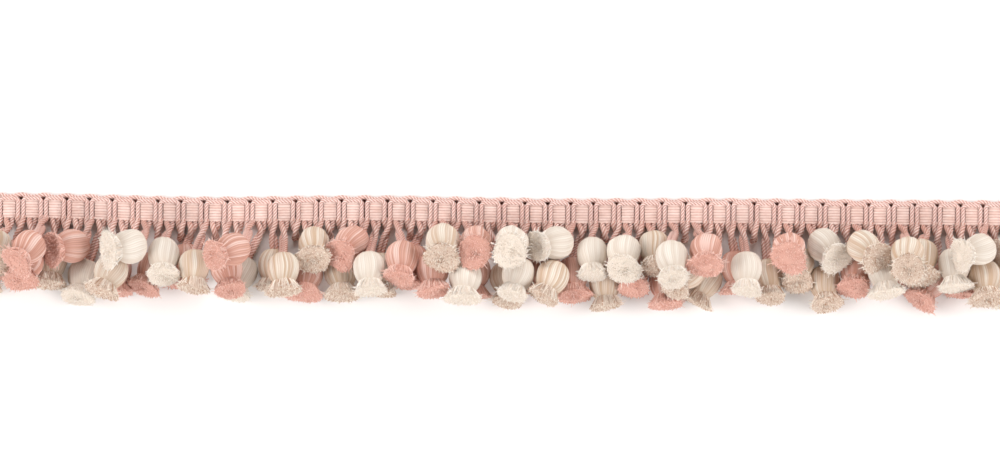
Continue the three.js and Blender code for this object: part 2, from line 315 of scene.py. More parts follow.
def islands(count, edges):
    """A label for each of a number of points, alike where edges join them."""
    label = np.arange(count)
    while True:
        lower = label.copy()
        least = np.minimum(label[edges[:, 0]], label[edges[:, 1]])
        np.minimum.at(lower, edges[:, 0], least)
        np.minimum.at(lower, edges[:, 1], least)
        if (lower == label).all():
            return label
        label = lower


def neighbours(edges, chosen):
    """Which points an edge joins to the chosen ones, themselves left out."""
    found = np.zeros(len(chosen), bool)
    found[edges[chosen[edges[:, 0]], 1]] = True
    found[edges[chosen[edges[:, 1]], 0]] = True
    return found & ~chosen


def cut_faces(points, edges, radius):
    """The middle points of the skirts' cut faces: even fans of edges as long as the rim's radius."""
    spans = np.linalg.norm(points[edges[:, 0]] - points[edges[:, 1]], axis=1)
    ends = edges.ravel()
    spans = np.repeat(spans, 2)
    count = np.bincount(ends, minlength=len(points))
    mean = np.bincount(ends, spans, len(points)) / np.maximum(count, 1)
    uneven = np.zeros(len(points))
    np.maximum.at(uneven, ends, np.abs(spans - mean[ends]))
    near = np.abs(mean / radius - 1) < SPOKE_MISFIT
    return np.flatnonzero(near & (uneven < SPOKE_UNEVEN * radius) & (count >= SPOKES))


def tassel_at(points, edges, middle, sizes):
    """The tassel whose cut face has this middle point."""
    chosen = np.zeros(len(points), bool)
    chosen[middle] = True
    rim = points[neighbours(edges, chosen)]
    hub = rim.mean(0)
    axis = unit(points[middle] - hub)
    side = unit(np.array([axis[1], -axis[0], 0.0]))
    girth = np.linalg.norm(rim - hub, axis=1).mean() / sizes.skirt_radius
    return Tassel(points[middle] - axis * sizes.face_at, np.cross(side, axis), side, axis, girth)


def locks_of(node, settings):
    """Every loop of a fringe node, from left to right."""
    points, edges = solid_of(node, settings.fringe.pressed)
    rooted = points[:, 1] > -settings.fringe.strip_front - HAIR
    rooted &= points[:, 2] < settings.fringe.strip_top
    crossing = rooted[edges]
    label = islands(len(points), edges[~crossing.any(1)])
    faces = {label[i]: i for i in cut_faces(points, edges, settings.tassel.skirt_radius)}
    from_strip = neighbours(edges, rooted)
    locks = []
    for island in np.unique(label[~rooted]):
        inside = label == island
        first = inside & from_strip
        second = neighbours(edges, first) & inside
        level, middle = points[first].mean(0), points[second].mean(0)
        tassel = None
        if island in faces:
            tassel = tassel_at(points, edges, faces[island], settings.tassel)
            end = tassel.centre - tassel.axis * settings.tassel.entry
        else:
            end = points[neighbours(edges, second) & inside & ~first].mean(0)
        locks.append(Lock(np.array([level, middle, end]), tassel))
    if not any(lock.tassel for lock in locks):
        raise RuntimeError(f"No tassel was found in {node}")
    return sorted(locks, key=lambda lock: lock.path[0, 0])


# Making shapes


def shape_of(bm):
    """A bmesh as arrays, once it is freed."""
    mesh = bpy.data.meshes.new("shape")
    bm.to_mesh(mesh)
    bm.free()
    corners = np.zeros(len(mesh.loops), np.int32)
    mesh.loops.foreach_get("vertex_index", corners)
    sizes = np.zeros(len(mesh.polygons), np.int32)
    mesh.polygons.foreach_get("loop_total", sizes)
    made = Shape(points_of(mesh), corners, sizes)
    bpy.data.meshes.remove(mesh)
    return made


class Gathered:
    """Shapes in one piece, with each point's shade, painted shade and place on its thread."""

    def __init__(self):
        self.points, self.corners, self.sizes = [], [], []
        self.values = {"shade": [], "groove": []}
        self.threads = []
        self.count = 0

    def add(self, shape, points, shade=0.5, groove=0.0, thread=None):
        """Adds a copy of a shape, or several, with its points where they are given."""
        copies = points.reshape(-1, len(shape.points), 3)
        along_threads = copies if thread is None else np.broadcast_to(thread, copies.shape)
        self.threads.append(along_threads.reshape(-1, 3))
        starts = self.count + len(shape.points) * np.arange(len(copies))
        self.points.append(copies.reshape(-1, 3))
        self.corners.append((shape.corners + starts[:, None]).ravel())
        self.sizes.append(np.tile(shape.sizes, len(copies)))
        for name, given in (("shade", shade), ("groove", groove)):
            self.values[name].append(np.broadcast_to(given, copies.shape[:2]).ravel())
        self.count += copies.shape[0] * copies.shape[1]

    def add_cord(self, path, wide, thick, lay, shade, entering=None):
        """Adds a twisted cord along a path, with painted shade that may grow where it enters a tassel.
        """
        made, groove = straight_cord(wide, thick, lay, length_of(path))
        if entering is not None:
            groove = painted_cord_shade(groove, made.points[:, 2], path, entering)
        self.add(made, bent_along(made.points, path), shade, groove)

    def piece(self, name, material, slot, *nodes):
        """The gathered shapes as a piece that stands for these nodes of the solids."""
        mesh = bpy.data.meshes.new(name)
        points = wandered(np.concatenate(self.points))
        points[:, 2] = np.maximum(points[:, 2], FLOOR_LIFT)
        corners, sizes = np.concatenate(self.corners), np.concatenate(self.sizes)
        mesh.vertices.add(len(points))
        mesh.vertices.foreach_set("co", points.astype(np.float32).ravel())
        mesh.loops.add(len(corners))
        mesh.loops.foreach_set("vertex_index", corners.astype(np.int32))
        mesh.polygons.add(len(sizes))
        mesh.polygons.foreach_set("loop_start", (np.cumsum(sizes) - sizes).astype(np.int32))
        mesh.polygons.foreach_set("use_smooth", np.ones(len(sizes), bool))
        for key, values in self.values.items():
            attribute = mesh.attributes.new(key, "FLOAT", "POINT")
            attribute.data.foreach_set("value", np.concatenate(values).astype(np.float32))
        attribute = mesh.attributes.new("thread", "FLOAT_VECTOR", "POINT")
        threads = np.concatenate(self.threads).astype(np.float32)
        attribute.data.foreach_set("vector", threads.ravel())
        mesh.update(calc_edges=True)
        if mesh.validate():
            raise RuntimeError(f"{name} has faces that don't hold together")
        mesh.materials.append(material)
        made = bpy.data.objects.new(name, mesh)
        bpy.context.scene.collection.objects.link(made)
        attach(made, "root")
        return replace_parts(made, *nodes)


def straight_cord(wide, thick, lay, length):
    """A straight twisted cord up the Z axis, and its painted shade in the grooves between its plies."""
    bm = bmesh.new()
    bmesh.ops.create_circle(bm, segments=2 * PLIES, radius=0.5)
    for v in bm.verts:
        turn = math.atan2(v.co.y, v.co.x)
        v.co *= 1 - GROOVE * (0.5 - 0.5 * math.cos(PLIES * turn))
    steps = max(2, round(length / RING))
    ring = bm.verts[:] + bm.edges[:]
    rise = (0, 0, length / steps)
    twist = 2 * math.pi * length / lay
    bmesh.ops.spin(bm, geom=ring, axis=(0, 0, 1), dvec=rise, angle=twist, steps=steps)
    bmesh.ops.holes_fill(bm, edges=[e for e in bm.edges if e.is_boundary], sides=0)
    bmesh.ops.recalc_face_normals(bm, faces=bm.faces[:])
    made = shape_of(bm)
    turn = np.arctan2(made.points[:, 1], made.points[:, 0]) - 2 * np.pi * made.points[:, 2] / lay
    # Painted shade, full in the grooves between the plies
    groove = np.where(np.cos(PLIES * turn) < 0, 1.0, 0.0)
    made.points[:, 0] *= wide
    made.points[:, 1] *= thick
    return made, groove


def run_along(path):
    """How far along a path each of its points lies."""
    steps = np.linalg.norm(np.diff(path, axis=0), axis=1)
    return np.concatenate([[0], np.cumsum(steps)])


def along(path, distance):
    """Points at these distances along a path of close points."""
    run = run_along(path)
    return np.stack([np.interp(distance, run, path[:, i]) for i in range(3)], axis=-1)


def length_of(path):
    """The length of a path of points."""
    return float(np.linalg.norm(np.diff(path, axis=0), axis=1).sum())


def curve_through(points, count):
    """Close points on a smooth curve through a few."""
    ends = np.vstack([2 * points[0] - points[1], points, 2 * points[-1] - points[-2]])
    made = []
    for before, start, stop, after in zip(ends, ends[1:], ends[2:], ends[3:]):
        t = np.linspace(0, 1, count, endpoint=False)[:, None]
        bent = 2 * before - 5 * start + 4 * stop - after
        slope = stop - before + t * (bent + t * (3 * (start - stop) + after - before))
        made.append(start + 0.5 * t * slope)
    return np.vstack([*made, points[-1:]])


def bent_along(points, path):
    """Points of a straight cord, moved so that its line follows a path."""
    run = points[:, 2]
    heights, which = np.unique(np.round(run, 7), return_inverse=True)
    at = along(path, heights)
    tangent = unit(np.gradient(at, axis=0))
    up = np.zeros_like(tangent)
    up[0] = (0, 0, 1)
    for i in range(len(up)):
        before = up[max(i - 1, 0)]
        up[i] = unit(before - tangent[i] * (before @ tangent[i]))
    across = np.cross(up, tangent)
    return at[which] + points[:, :1] * across[which] + points[:, 1:2] * up[which]


def turned(outline, columns):
    """A closed shape turned about the Z axis from an outline of heights and radii."""
    bm = bmesh.new()
    line = [bm.verts.new((radius, 0, height)) for height, radius in outline]
    for start, stop in zip(line, line[1:]):
        bm.edges.new((start, stop))
    swept = bm.verts[:] + bm.edges[:]
    bmesh.ops.spin(
        bm, geom=swept, axis=(0, 0, 1), angle=2 * math.pi, steps=columns, use_merge=True
    )
    bmesh.ops.remove_doubles(bm, verts=bm.verts[:], dist=HAIR)
    bmesh.ops.recalc_face_normals(bm, faces=bm.faces[:])
    return shape_of(bm)


# A cut thread one long and one thick: the radii of its root and tip, and the height under which a
# face is its hidden foot
ROOT_RADIUS = 0.5
TIP_RADIUS = 0.34
FOOT = 0.01


def cut_thread(parts):
    """A three-sided thread up the Z axis, in a number of parts."""
    bm = bmesh.new()
    bmesh.ops.create_cone(
        bm, cap_ends=True, segments=3, radius1=ROOT_RADIUS, radius2=TIP_RADIUS, depth=1
    )
    bmesh.ops.translate(bm, verts=bm.verts[:], vec=(0, 0, 0.5))
    for i in range(1, parts):
        cut = bm.verts[:] + bm.edges[:] + bm.faces[:]
        bmesh.ops.bisect_plane(bm, geom=cut, plane_co=(0, 0, i / parts), plane_no=(0, 0, 1))
    hidden = [f for f in bm.faces if max(v.co.z for v in f.verts) < FOOT]
    bmesh.ops.delete(bm, geom=hidden, context="FACES_ONLY")
    return shape_of(bm)


# Materials


def add_node(tree, kind, settings, **links):
    """A shader node with its settings, by attribute or input, and links from other nodes' outputs."""
    node = tree.nodes.new(f"ShaderNode{kind}")
    for name, value in settings.items():
        if hasattr(node, name):
            setattr(node, name, value)
        else:
            node.inputs[name].default_value = value
    for name, output in links.items():
        tree.links.new(output, node.inputs[name.replace("_", " ")])
    return node


def fibre_material(name, palette, deep, lump, fibre, drift_by):
    """Matt yarn: its palette by each point's shade, darkened by its painted shade, with a fine nap."""
    # Cotton fibres are about 0.02 mm thick, too fine to show, so the nap is drawn much coarser
    made = bpy.data.materials.new(name)
    made.use_nodes = True
    tree = made.node_tree
    tree.nodes.clear()
    place = add_node(tree, "Attribute", {"attribute_name": "thread"}).outputs["Vector"]
    shade = add_node(tree, "Attribute", {"attribute_name": "shade"}).outputs["Fac"]
    groove = add_node(tree, "Attribute", {"attribute_name": "groove"}).outputs["Fac"]
    cloud = add_node(tree, "TexNoise", {"Scale": 1 / lump, "Detail": 3.0}, Vector=place)
    spread = {"From Min": 0.3, "From Max": 0.7, "To Min": -drift_by, "To Max": drift_by}
    drift = add_node(tree, "MapRange", spread, Value=cloud.outputs["Fac"])
    total = add_node(tree, "Math", {"operation": "ADD", "use_clamp": True})
    tree.links.new(shade, total.inputs[0])
    tree.links.new(drift.outputs["Result"], total.inputs[1])
    ramp = add_node(tree, "ValToRGB", {}, Fac=total.outputs["Value"])
    stops = ramp.color_ramp.elements
    stops[0].color = palette[0]
    stops[1].color = palette[-1]
    for i, tone in enumerate(palette[1:-1], 1):
        stops.new(i / (len(palette) - 1)).color = tone
    # Painted shade: the deep tone, mixed in as far as each point's painted shade says
    shaded_colour = add_node(tree, "Mix", {"data_type": "RGBA"}, Factor=groove)
    tree.links.new(ramp.outputs["Color"], shaded_colour.inputs[6])
    shaded_colour.inputs[7].default_value = deep
    nap = add_node(tree, "TexNoise", {"Scale": 1 / fibre, "Detail": 2.0}, Vector=place)
    raised = {"Strength": 0.5, "Distance": fibre / 3}
    bump = add_node(tree, "Bump", raised, Height=nap.outputs["Fac"])
    matt = {"Roughness": 0.88, "IOR": 1.5, "Specular IOR Level": 0.1}
    yarn = add_node(
        tree, "BsdfPrincipled", matt, Base_Color=shaded_colour.outputs[2], Normal=bump.outputs["Normal"]
    )
    add_node(tree, "OutputMaterial", {}, Surface=yarn.outputs["BSDF"])
    return made


def cotton(name, yarn, tones, **scales):
    """Cotton in the tones of a yarn's colours, made once."""
    if name in bpy.data.materials:
        return bpy.data.materials[name]
    colours = bpy.context.scene.trim.colours
    *palette, deep = (getattr(colours, f"{yarn}_{tone}") for tone in tones)
    return fibre_material(name, palette, deep, **scales)


def twisted_cotton(part):
    """Soft mercerised cotton cord: pale on its plies, with warm painted shade where they meet."""
    scales = {"lump": 5 * MM, "fibre": 0.35 * MM, "drift_by": 0.25}
    return cotton(f"twisted_cotton_{part}", part, CORD_TONES, **scales)


def ribbed_cotton():
    """Closely woven cotton tape: smooth pale ribs with painted shade between them."""
    scales = {"lump": 3 * MM, "fibre": 0.3 * MM, "drift_by": 0.25}
    return cotton("ribbed_cotton_tape", "tape", CORD_TONES, **scales)


def wound_yarn(yarn):
    """Wound cotton yarn: soft streaks along its threads."""
    scales = {"lump": 1.4 * MM, "fibre": 0.4 * MM, "drift_by": 0.3}
    return cotton(f"{yarn}_wound_yarn", yarn, YARN_TONES, **scales)


def cut_yarn(yarn):
    """Cut cotton yarn: a dense pile of ends, each in its own shade."""
    scales = {"lump": 0.8 * MM, "fibre": 0.3 * MM, "drift_by": 0.1}
    return cotton(f"{yarn}_cut_yarn", f"{yarn}_cut", YARN_TONES, **scales)


# Pieces


# Stations across one window, from the middle of a notch: their places, and how far the tape
# dips there, or swells up
STATIONS = ((0.0, 0.9), (2.25, 0.4), (2.35, -1.35), (5.0, -1.6), (7.65, -1.35), (7.75, 0.4))

# One rib across the tape: shares of its width, and of the rib depth by which it lies lower there
RIB = ((0.0, 1.0), (0.16, 0.35), (0.5, 0.0), (0.84, 0.35))

# The step down to the selvedge, how far the ribs differ in height, how dark the painted shade between
# them is, and how the tape's threads are drawn out along it
SELVEDGE_STEP = 0.05 * MM
RIB_UNEVEN = 0.1 * MM
RIB_DARK = 0.6
DRAWN_OUT = (0.3, 1, 1)


def tape_outline(sizes, ribs):
    """The tape's section over its ribs and its selvedge, as Y and Z."""
    foot = -sizes.ribbed_width / 2
    shoulder, rim = -foot, foot + sizes.tape_width
    outline = []
    for i in range(ribs):
        for part, drop in RIB:
            outline.append((foot + (i + part) * sizes.rib, TAPE_THICK - drop * sizes.rib_depth))
    outline.append((shoulder, TAPE_THICK - sizes.rib_depth))
    outline.append((shoulder + SELVEDGE_STEP, sizes.selvedge))
    return outline + [(rim, sizes.selvedge), (rim, 0), (foot, 0)]


class TRIM_OT_tape(bpy.types.Operator):
    """Weave the ribbed heading tape"""

    bl_idname = "trim.tape"
    bl_label = "Woven tape"

    def execute(self, context):
        sizes = context.scene.trim.heading
        draw = np.random.default_rng(context.scene.trim.tassel.seed)
        foot = -sizes.ribbed_width / 2
        ribs = round(sizes.ribbed_width / sizes.rib)
        bm = bmesh.new()
        start = TAPE_LOW.x
        bm.faces.new([bm.verts.new((start, y, z)) for y, z in tape_outline(sizes, ribs)])
        repeats = round(LENGTH / sizes.repeat)
        stations = len(STATIONS) * repeats
        end = bm.verts[:] + bm.edges[:] + bm.faces[:]
        step = (LENGTH / stations, 0, 0)
        bmesh.ops.spin(bm, geom=end, axis=(1, 0, 0), dvec=step, angle=0, steps=stations)
        bmesh.ops.recalc_face_normals(bm, faces=bm.faces[:])
        woven = shape_of(bm)
        points = woven.points
        station = np.round((points[:, 0] - start) / (LENGTH / stations)).astype(int)
        places = np.add.outer(np.arange(repeats + 1) * sizes.repeat, [at * MM for at, _ in STATIONS])
        points[:, 0] = start + np.minimum(places.ravel()[station], LENGTH)
        dips = np.tile([dip * MM for _, dip in STATIONS], repeats + 1)[station]
        depth = np.clip((TAPE_THICK - points[:, 2]) / sizes.rib_depth, 0, 1)
        rib = np.floor((points[:, 1] - foot + HAIR) / sizes.rib).astype(int)
        shade = draw.random((ribs + 3, stations + 1))
        tone = shade[np.clip(rib, 0, ribs + 2), station]
        on_top = (points[:, 2] > sizes.selvedge + HAIR) & (points[:, 1] > foot + HAIR)
        points[:, 2] -= np.where(on_top, dips + RIB_UNEVEN * tone, 0)
        # Painted shade between the ribs and where the tape dips under the legs
        dark = np.maximum(RIB_DARK * depth, np.clip(dips / MM, 0, 1))
        gathered = Gathered()
        gathered.add(woven, points, tone, dark, points * DRAWN_OUT)
        tape = gathered.piece("woven_tape", ribbed_cotton(), "rose_cord", "heading_tape")
        return {"FINISHED"}


# The heading's cords: their reach below the tape, the gaps to what carries them, the points in a bend
# and in a repeat, and their shades
LEG_BELOW = 0.3 * MM
FACE_GAP = 0.15 * MM
EDGE_GAP = 0.05 * MM
BEND_POINTS = 7
EDGE_POINTS = 16
FACE_SHADES = (0.25, 0.65)
EDGE_SHADE = 0.55


def loop_over_window(middle, sizes, draw):
    """The line of the face cord up, over and down round one window."""
    foot = -sizes.ribbed_width / 2 - LEG_BELOW
    height = TAPE_THICK + FACE_GAP + sizes.cord_thick / 2
    left, right = draw.uniform(-1, 1, 2) * sizes.unevenness + (-sizes.leg, sizes.leg)
    top = sizes.arch + draw.uniform(-1, 1) * sizes.unevenness
    bends = np.linspace(0, np.pi / 2, BEND_POINTS)
    turn = np.stack([-np.cos(bends), np.sin(bends)], axis=1) * sizes.bend
    turn_left = turn + (left + sizes.bend, top - sizes.bend)
    turn_right = turn[::-1] * (-1, 1) + (right - sizes.bend, top - sizes.bend)
    legs = np.vstack([[(left, foot)], turn_left, turn_right, [(right, foot)]])
    return np.column_stack([middle + legs[:, 0], legs[:, 1], np.full(len(legs), height)])


class TRIM_OT_face_cord(bpy.types.Operator):
    """Loop the twisted face cord over each window of the tape"""

    bl_idname = "trim.face_cord"
    bl_label = "Looped face cord"

    def execute(self, context):
        sizes = context.scene.trim.heading
        draw = np.random.default_rng(context.scene.trim.tassel.seed)
        gathered = Gathered()
        for window in range(round(LENGTH / sizes.repeat)):
            middle = TAPE_LOW.x + (window + 0.5) * sizes.repeat
            path = loop_over_window(middle, sizes, draw)
            shade = draw.uniform(*FACE_SHADES)
            gathered.add_cord(path, sizes.cord, sizes.cord_thick, sizes.lay, shade)
        gathered.piece("looped_cord", twisted_cotton("cord"), "rose_cord", "face_cord")
        return {"FINISHED"}


class TRIM_OT_edge_cord(bpy.types.Operator):
    """Lay the twisted edge cord in scallops behind the loops"""

    bl_idname = "trim.edge_cord"
    bl_label = "Scalloped edge cord"

    def execute(self, context):
        sizes = context.scene.trim.heading
        x = np.linspace(TAPE_LOW.x, TAPE_HIGH.x, EDGE_POINTS * round(LENGTH / sizes.repeat) + 1)
        swing = np.cos(2 * np.pi * (x - TAPE_LOW.x) / sizes.repeat)
        height = sizes.selvedge + EDGE_GAP + sizes.edge_thick / 2
        y = sizes.edge_middle + sizes.edge_swing * swing
        path = np.column_stack([x, y, np.full(len(x), height)])
        gathered = Gathered()
        gathered.add_cord(path, sizes.edge_wide, sizes.edge_thick, sizes.lay, EDGE_SHADE)
        gathered.piece("scalloped_cord", twisted_cotton("cord"), "rose_cord", "edge_cord")
        return {"FINISHED"}


# The hanging cords: their roots' shade, which is dark as painted shade below the heading's edge, their
# own shade, the way from their start to where they turn down, and the steps in each stretch of their
# curve
ROOT_PAINTED_SHADE = 0.9
LOOP_SHADES = (0.2, 0.8)
HEEL = np.array([0, -1.4, -0.15]) * MM
CURVE_STEPS = 10

# Painted shade on the hanging cords: how dark a cord grows as it enters its tassel, and from how many
# entering lengths before its end, and the slope from which a climbing cord darkens, with the most that
# it does
ENTRY_DARK = 0.55
ENTRY_REACH = 1.1
CLIMB_FROM = 0.3
CLIMB_DARK = 0.45


class TRIM_OT_roots(bpy.types.Operator):
    """Bind the roots of the loops along the heading's lower edge"""

    bl_idname = "trim.roots"
    bl_label = "Bound roots"

    def execute(self, context):
        sizes = context.scene.trim.fringe
        middle = -(sizes.strip_front - sizes.binding / 2)
        x = np.linspace(TAPE_LOW.x, TAPE_HIGH.x, len(LINE_X))
        path = np.column_stack([x, np.full(len(x), middle), np.full(len(x), sizes.binding / 2)])
        gathered = Gathered()
        gathered.add_cord(path, sizes.binding, sizes.binding, sizes.lay, ROOT_PAINTED_SHADE)
        gathered.piece("bound_roots", twisted_cotton("loop"), "rose_cord", *FRINGE_NODES)
        return {"FINISHED"}


def pair_of_cords(lock, order, sizes):
    """The lines of a loop's two cords, from the heading to the tassel's top."""
    level, middle, end = (place * (1, 1, sizes.pressed) for place in lock.path)
    height = sizes.leg_start if order % 2 == 0 else sizes.window_start
    start = np.array([level[0], -sizes.start, height])
    heel = start + HEEL
    for place in (level, middle):
        way = (heel[1] - place[1]) / (heel[1] - end[1])
        straight = heel[2] + way * (end[2] - heel[2])
        place[2] += sizes.straighten * max(0, straight - place[2])
    few = np.array([start, heel, level, middle, end])
    few[:, 2] = np.maximum(few[:, 2], sizes.cord / 2)
    line = curve_through(few, CURVE_STEPS)
    part = np.clip((run_along(line) - sizes.open) / sizes.closing, 0, 1)
    tangent = unit(np.gradient(line, axis=0))
    across = unit(np.cross(tangent, (0, 0, 1.0)))
    over = np.cross(across, tangent)
    turn = (sizes.cross * part * (1 if order % 2 else -1))[:, None]
    apart = (sizes.spread + (sizes.close - sizes.spread) * part)[:, None] / 2
    offset = apart * (np.cos(turn) * across + np.sin(turn) * over)
    return line + offset, line - offset


def painted_cord_shade(groove, run, line, entering):
    """A cord's painted shade in its grooves, grown where it enters its tassel and where it climbs."""
    left = length_of(line) - run
    entry = ENTRY_DARK * np.clip(ENTRY_REACH - left / entering, 0, 1)
    reached = run_along(line)
    slope = np.abs(np.diff(line[:, 2])) / np.diff(reached)
    climb = np.clip(np.interp(run, reached[1:], slope) - CLIMB_FROM, 0, CLIMB_DARK)
    return groove + np.maximum(entry, climb) * (1 - groove)


class TRIM_OT_loops(bpy.types.Operator):
    """Hang the loops of twisted cord from the heading"""

    bl_idname = "trim.loops"
    bl_label = "Hanging loops"

    def execute(self, context):
        settings = context.scene.trim
        sizes = settings.fringe
        draw = np.random.default_rng(settings.tassel.seed)
        gathered = Gathered()
        for node in FRINGE_NODES:
            for lock in locks_of(node, settings):
                order = round((lock.path[0, 0] - TAPE_LOW.x) / (settings.heading.repeat / 2))
                lines = pair_of_cords(lock, order, sizes)
                entering = sizes.entering
                if lock.tassel is None:
                    lines = [np.vstack([lines[0], lines[1][::-1]])]
                    entering = None
                for line in lines:
                    shade = draw.uniform(*LOOP_SHADES)
                    gathered.add_cord(line, sizes.cord, sizes.cord, sizes.lay, shade, entering)
        gathered.piece("hanging_loops", twisted_cotton("loop"), "rose_cord", *FRINGE_NODES)
        return {"FINISHED"}


# A bulb's outline from the dimple in its top to its tie, as heights along it and radii in millimetres
BULB = (
    *((-5.0, 0.0), (-5.6, 0.9), (-6.6, 1.7), (-6.95, 2.8), (-6.5, 4.0), (-5.5, 5.2)),
    *((-4.1, 6.2), (-2.4, 6.8), (-0.6, 7.0), (1.2, 6.9), (2.9, 6.45), (4.3, 5.9)),
    *((5.3, 5.3), (6.0, 4.8), (6.6, 4.3), (7.0, 0.0)),
)

# A skirt's outline from inside its tie to the middle of its cut face
SKIRT = (
    *((5.6, 0.0), (5.7, 4.2), (6.2, 4.6), (7.0, 5.1), (8.0, 5.8), (9.1, 6.4)),
    *((10.0, 6.8), (10.5, 6.9), (10.75, 6.3), (10.8, 3.5), (10.8, 0.0)),
)


def put_on(tassel, points, pressed):
    """Points of a tassel that stands on the Z axis, put where it lies."""
    turned_to = np.stack([tassel.over * tassel.girth, tassel.side * tassel.girth, tassel.axis])
    placed = tassel.centre + points @ turned_to
    placed[..., 2] *= pressed
    return placed


# A bulb in millimetres: its top, its length, its radius, and the radius inside which nothing is
# moved. Then how full it stays to its ends.
BULB_TOP = -7
BULB_LONG = 13.6
BULB_RADIUS = 7
BULB_CORE = 0.5
FULLNESS = 0.6

# How proud the threads stand, as shares of the relief. Then heights in millimetres, and how many go
# round, of the lumps and of the folds, which wander, and the threads' lean in radians and its length.
PROUD = (0.3, 1.0)
LUMPS = ((0.25, 3), (0.15, 5))
FOLD = 0.04
FOLD_AT_ENDS = 0.22
FOLDS = 11
FOLD_WANDER = 1.5
LEAN = 0.10
LEAN_LONG = 4
PHASES = (0, 6)

# The share of pale threads, the shades of the others, how the streaks are drawn out along them, and
# how dark the painted shade is between them and at the bulb's ends
PALE = 0.3
STREAKS = (0.45, 1.0)
STREAK_DRAWN = 0.06
BETWEEN_DARK = 0.55
ENDS_DARK = 0.8


def wound_bulb(shape, sizes, draw):
    """A bulb's points, its threads raised, and each one's shade, painted shade and place on a thread."""
    points = shape.points.copy()
    around = np.arctan2(points[:, 1], points[:, 0])
    column = np.round(around / (2 * np.pi) * 2 * sizes.threads).astype(int) % (2 * sizes.threads)
    thread, between = column // 2, column % 2
    height = points[:, 2] / MM
    down = np.clip((height - BULB_TOP) / BULB_LONG, 0, 1)
    body = np.clip(np.sin(np.pi * down), 0, 1) ** FULLNESS
    ends = np.abs(2 * down - 1) ** 2
    proud = draw.uniform(*PROUD, sizes.threads)[thread] * (1 - between)
    lump = sum(high * np.sin(waves * around + draw.uniform(*PHASES)) for high, waves in LUMPS)
    wander = FOLD_WANDER * np.sin(2 * around + draw.uniform(*PHASES))
    folds = (FOLD + FOLD_AT_ENDS * ends) * np.sin(FOLDS * around + wander)
    out = body * (sizes.relief * (proud - 0.5) + (lump + folds) * MM)
    lean = LEAN * body * np.sin(height / LEAN_LONG + draw.uniform(*PHASES))
    radius = np.hypot(points[:, 0], points[:, 1])
    grown = radius + np.where(radius > BULB_CORE * MM, out, 0)
    points[:, 0] = grown * np.cos(around + lean)
    points[:, 1] = grown * np.sin(around + lean)
    pale = draw.random(sizes.threads) < PALE
    streak = np.where(pale, 0.0, draw.uniform(*STREAKS, sizes.threads))
    ring = BULB_RADIUS * MM * np.stack([np.cos(around), np.sin(around)], axis=1)
    place = np.column_stack([ring, STREAK_DRAWN * points[:, 2]]) + draw.uniform(0, 1, 3)
    # Painted shade between the threads, and at the bulb's ends where they gather
    groove = np.maximum(BETWEEN_DARK * between, ENDS_DARK * (1 - body))
    return points, streak[thread], groove, place


# Keeps a thread's sideways direction from vanishing
ASIDE = np.array([0.1, 0, 0]) * MM


def thread_copies(shape, root, tip, thick, sway):
    """Copies of a thread from roots to tips, each bent sideways in its middle."""
    way = tip - root
    first = unit(np.cross(way, np.roll(way, 1, axis=1) + ASIDE))
    second = np.cross(unit(way), first)
    x, y, z = (shape.points[:, i][None, :, None] for i in range(3))
    bow = sway[:, None] * (4 * z * (1 - z))
    return root[:, None] + z * way[:, None] + bow + thick * (x * first[:, None] + y * second[:, None])


def level_ways(spin):
    """Level ways one long, at these turns about the Z axis."""
    return np.stack([np.cos(spin), np.sin(spin), np.zeros(len(spin))], axis=1)


# The pile on a cut face, in millimetres: the face's radius, height and rounding, and its ends' roots
# and lengths. Then the turn from end to end and how it varies, and the lean, which grows to the rim.
FACE_RADIUS = 6.8
FACE_HEIGHT = 10.8
FACE_ROUNDING = 0.2
PILE_ROOT = 0.5
PILE_LONG = (0.6, 1.4)
PILE_TURN = math.pi * (3 - math.sqrt(5))
TURN_VARIES = 0.2
PILE_LEAN = 0.15
RIM_LEAN = 0.95
LEAN_VARIES = 0.34


def pile_on_face(sizes, draw):
    """Roots, tips and bows of the cut ends on a skirt's face, which are straight."""
    count = sizes.pile
    order = np.arange(count) + 0.5
    out = np.sqrt(order / count)
    outward = level_ways(order * PILE_TURN + draw.normal(0, TURN_VARIES, count))
    root = outward * (FACE_RADIUS * MM * out)[:, None]
    root[:, 2] = (FACE_HEIGHT - FACE_ROUNDING * out**4 - PILE_ROOT) * MM
    lean = outward * (PILE_LEAN + RIM_LEAN * out**3)[:, None]
    lean += draw.normal(0, LEAN_VARIES, (count, 3))
    lean[:, 2] = 1
    tip = root + unit(lean) * draw.uniform(*PILE_LONG, count)[:, None] * MM
    return root, tip, np.zeros_like(root)


# The threads down a skirt's side, in millimetres: their roots' radius and heights, their tips' with
# how far they vary, and their bow. Then their spread, as shares of their distance, and their twist.
SIDE_RADIUS = 4.5
SIDE_ROOTS = (5.7, 6.2)
SIDE_TIPS_OUT = (7.1, 0.3)
SIDE_TIPS_DOWN = (10.5, 0.4)
SIDE_BOW = (-0.2, 0.35)
SIDE_SPREAD = (-0.4, 0.4)
SIDE_TWIST = 0.07


def threads_down_side(sizes, draw):
    """Roots, tips and sideways bows of the threads that flare down a skirt's side."""
    count = sizes.fringe
    spin = 2 * math.pi * (np.arange(count) + draw.uniform(*SIDE_SPREAD, count)) / count
    outward = level_ways(spin)
    fanned = level_ways(spin + draw.normal(0, SIDE_TWIST, count))
    root = outward * SIDE_RADIUS * MM
    root[:, 2] = draw.uniform(*SIDE_ROOTS, count) * MM
    tip = fanned * (draw.normal(*SIDE_TIPS_OUT, count) * MM)[:, None]
    tip[:, 2] = draw.normal(*SIDE_TIPS_DOWN, count) * MM
    bow = outward * (draw.uniform(*SIDE_BOW, count) * MM)[:, None]
    return root, tip, bow


# The stray fibres, in millimetres: their roots' radius and heights and their reach. Then their lean.
STRAY_RADIUS = 6.2
STRAY_ROOTS = (8.8, 10.5)
STRAY_REACH = (1.2, 2.8)
STRAY_LEAN = 0.25


